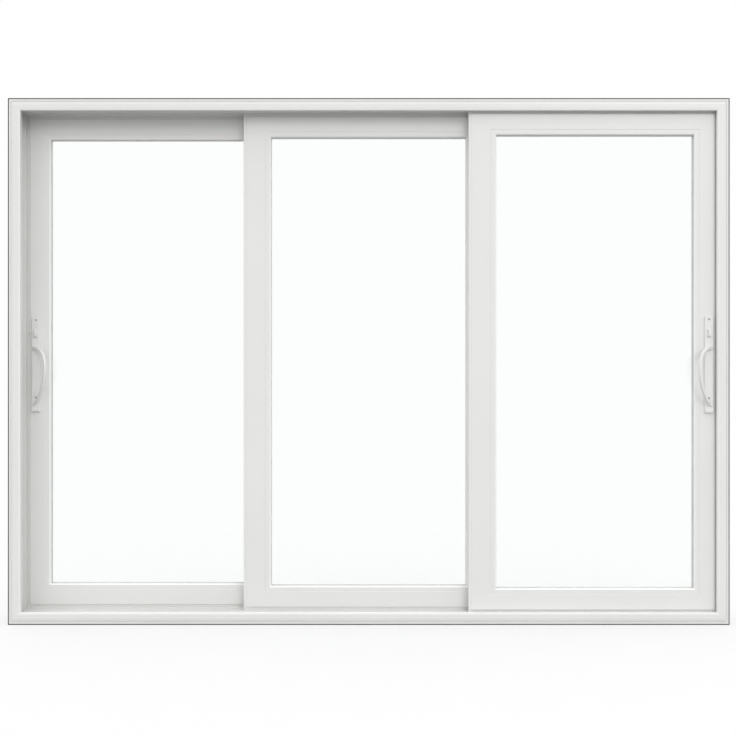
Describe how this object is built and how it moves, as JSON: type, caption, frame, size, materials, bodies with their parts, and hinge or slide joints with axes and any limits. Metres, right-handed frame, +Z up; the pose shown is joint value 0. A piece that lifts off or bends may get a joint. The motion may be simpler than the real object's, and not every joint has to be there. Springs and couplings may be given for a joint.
{
  "type": "glass sliding patio door",
  "caption": "Wide glazed patio door: end panels slide past a fixed middle panel on sill tracks in a deep mitred frame, with bowed pulls and thumb turns.",
  "frame": {"origin": "middle of the sill's underside", "axes": "+Z up, +X along the door's width to the right seen from the room, -Y towards the room"},
  "size_m": [2.74, 0.263, 2],
  "materials": {
    "vinyl_frame": "satin white vinyl",
    "vinyl_panel": "satin white vinyl",
    "bead_vinyl": "satin white vinyl",
    "clear_glass": "clear",
    "glazing_gasket": "matt",
    "perimeter_foam": "matt",
    "spacer_alloy": "mill finish",
    "track_alloy": "mill finish",
    "roller_nylon": "moulded",
    "lock_steel": "brushed",
    "handle_enamel": "satin white"
  },
  "bodies": {
    "root": {"head_frame": "vinyl_frame", "sill_frame": "vinyl_frame", "left_jamb": "vinyl_frame", "right_jamb": "vinyl_frame", "perimeter_seal": "perimeter_foam", "sill_tracks": "track_alloy", "lock_keepers": "lock_steel", "middle_left_stile": "vinyl_panel", "middle_right_stile": "vinyl_panel", "middle_top_rail": "vinyl_panel", "middle_bottom_rail": "vinyl_panel", "middle_bead": "bead_vinyl", "middle_glass": "clear_glass", "middle_spacer": "spacer_alloy", "middle_gaskets": "glazing_gasket", "middle_blocks": "roller_nylon"},
    "left_panel": {"left_lock_stile": "vinyl_panel", "left_meeting_stile": "vinyl_panel", "left_top_rail": "vinyl_panel", "left_bottom_rail": "vinyl_panel", "left_bead": "bead_vinyl", "left_glass": "clear_glass", "left_spacer": "spacer_alloy", "left_gaskets": "glazing_gasket", "left_rollers": "roller_nylon", "left_lock_faceplate": "lock_steel", "left_handle_plate": "handle_enamel", "left_pull": "handle_enamel", "left_outer_pull": "handle_enamel"},
    "right_panel": {"right_lock_stile": "vinyl_panel", "right_meeting_stile": "vinyl_panel", "right_top_rail": "vinyl_panel", "right_bottom_rail": "vinyl_panel", "right_bead": "bead_vinyl", "right_glass": "clear_glass", "right_spacer": "spacer_alloy", "right_gaskets": "glazing_gasket", "right_rollers": "roller_nylon", "right_lock_faceplate": "lock_steel", "right_handle_plate": "handle_enamel", "right_pull": "handle_enamel", "right_outer_pull": "handle_enamel"},
    "left_turn": {"left_thumb_turn": "handle_enamel"},
    "right_turn": {"right_thumb_turn": "handle_enamel"}
  },
  "joints": [
    {"name": "left_slide", "type": "slide", "parent": "root", "child": "left_panel", "axis": [1, 0, 0], "range_m": [0, 0.745]},
    {"name": "right_slide", "type": "slide", "parent": "root", "child": "right_panel", "axis": [-1, 0, 0], "range_m": [0, 0.745]},
    {"name": "left_thumb_turn_hinge", "type": "hinge", "parent": "left_panel", "child": "left_turn", "pos_m": [-1.297, 0.03, 1.109], "axis": [0, -1, 0], "range_deg": [0, 90]},
    {"name": "right_thumb_turn_hinge", "type": "hinge", "parent": "right_panel", "child": "right_turn", "pos_m": [1.297, -0.07, 1.109], "axis": [0, 1, 0], "range_deg": [0, 90]}
  ]
}
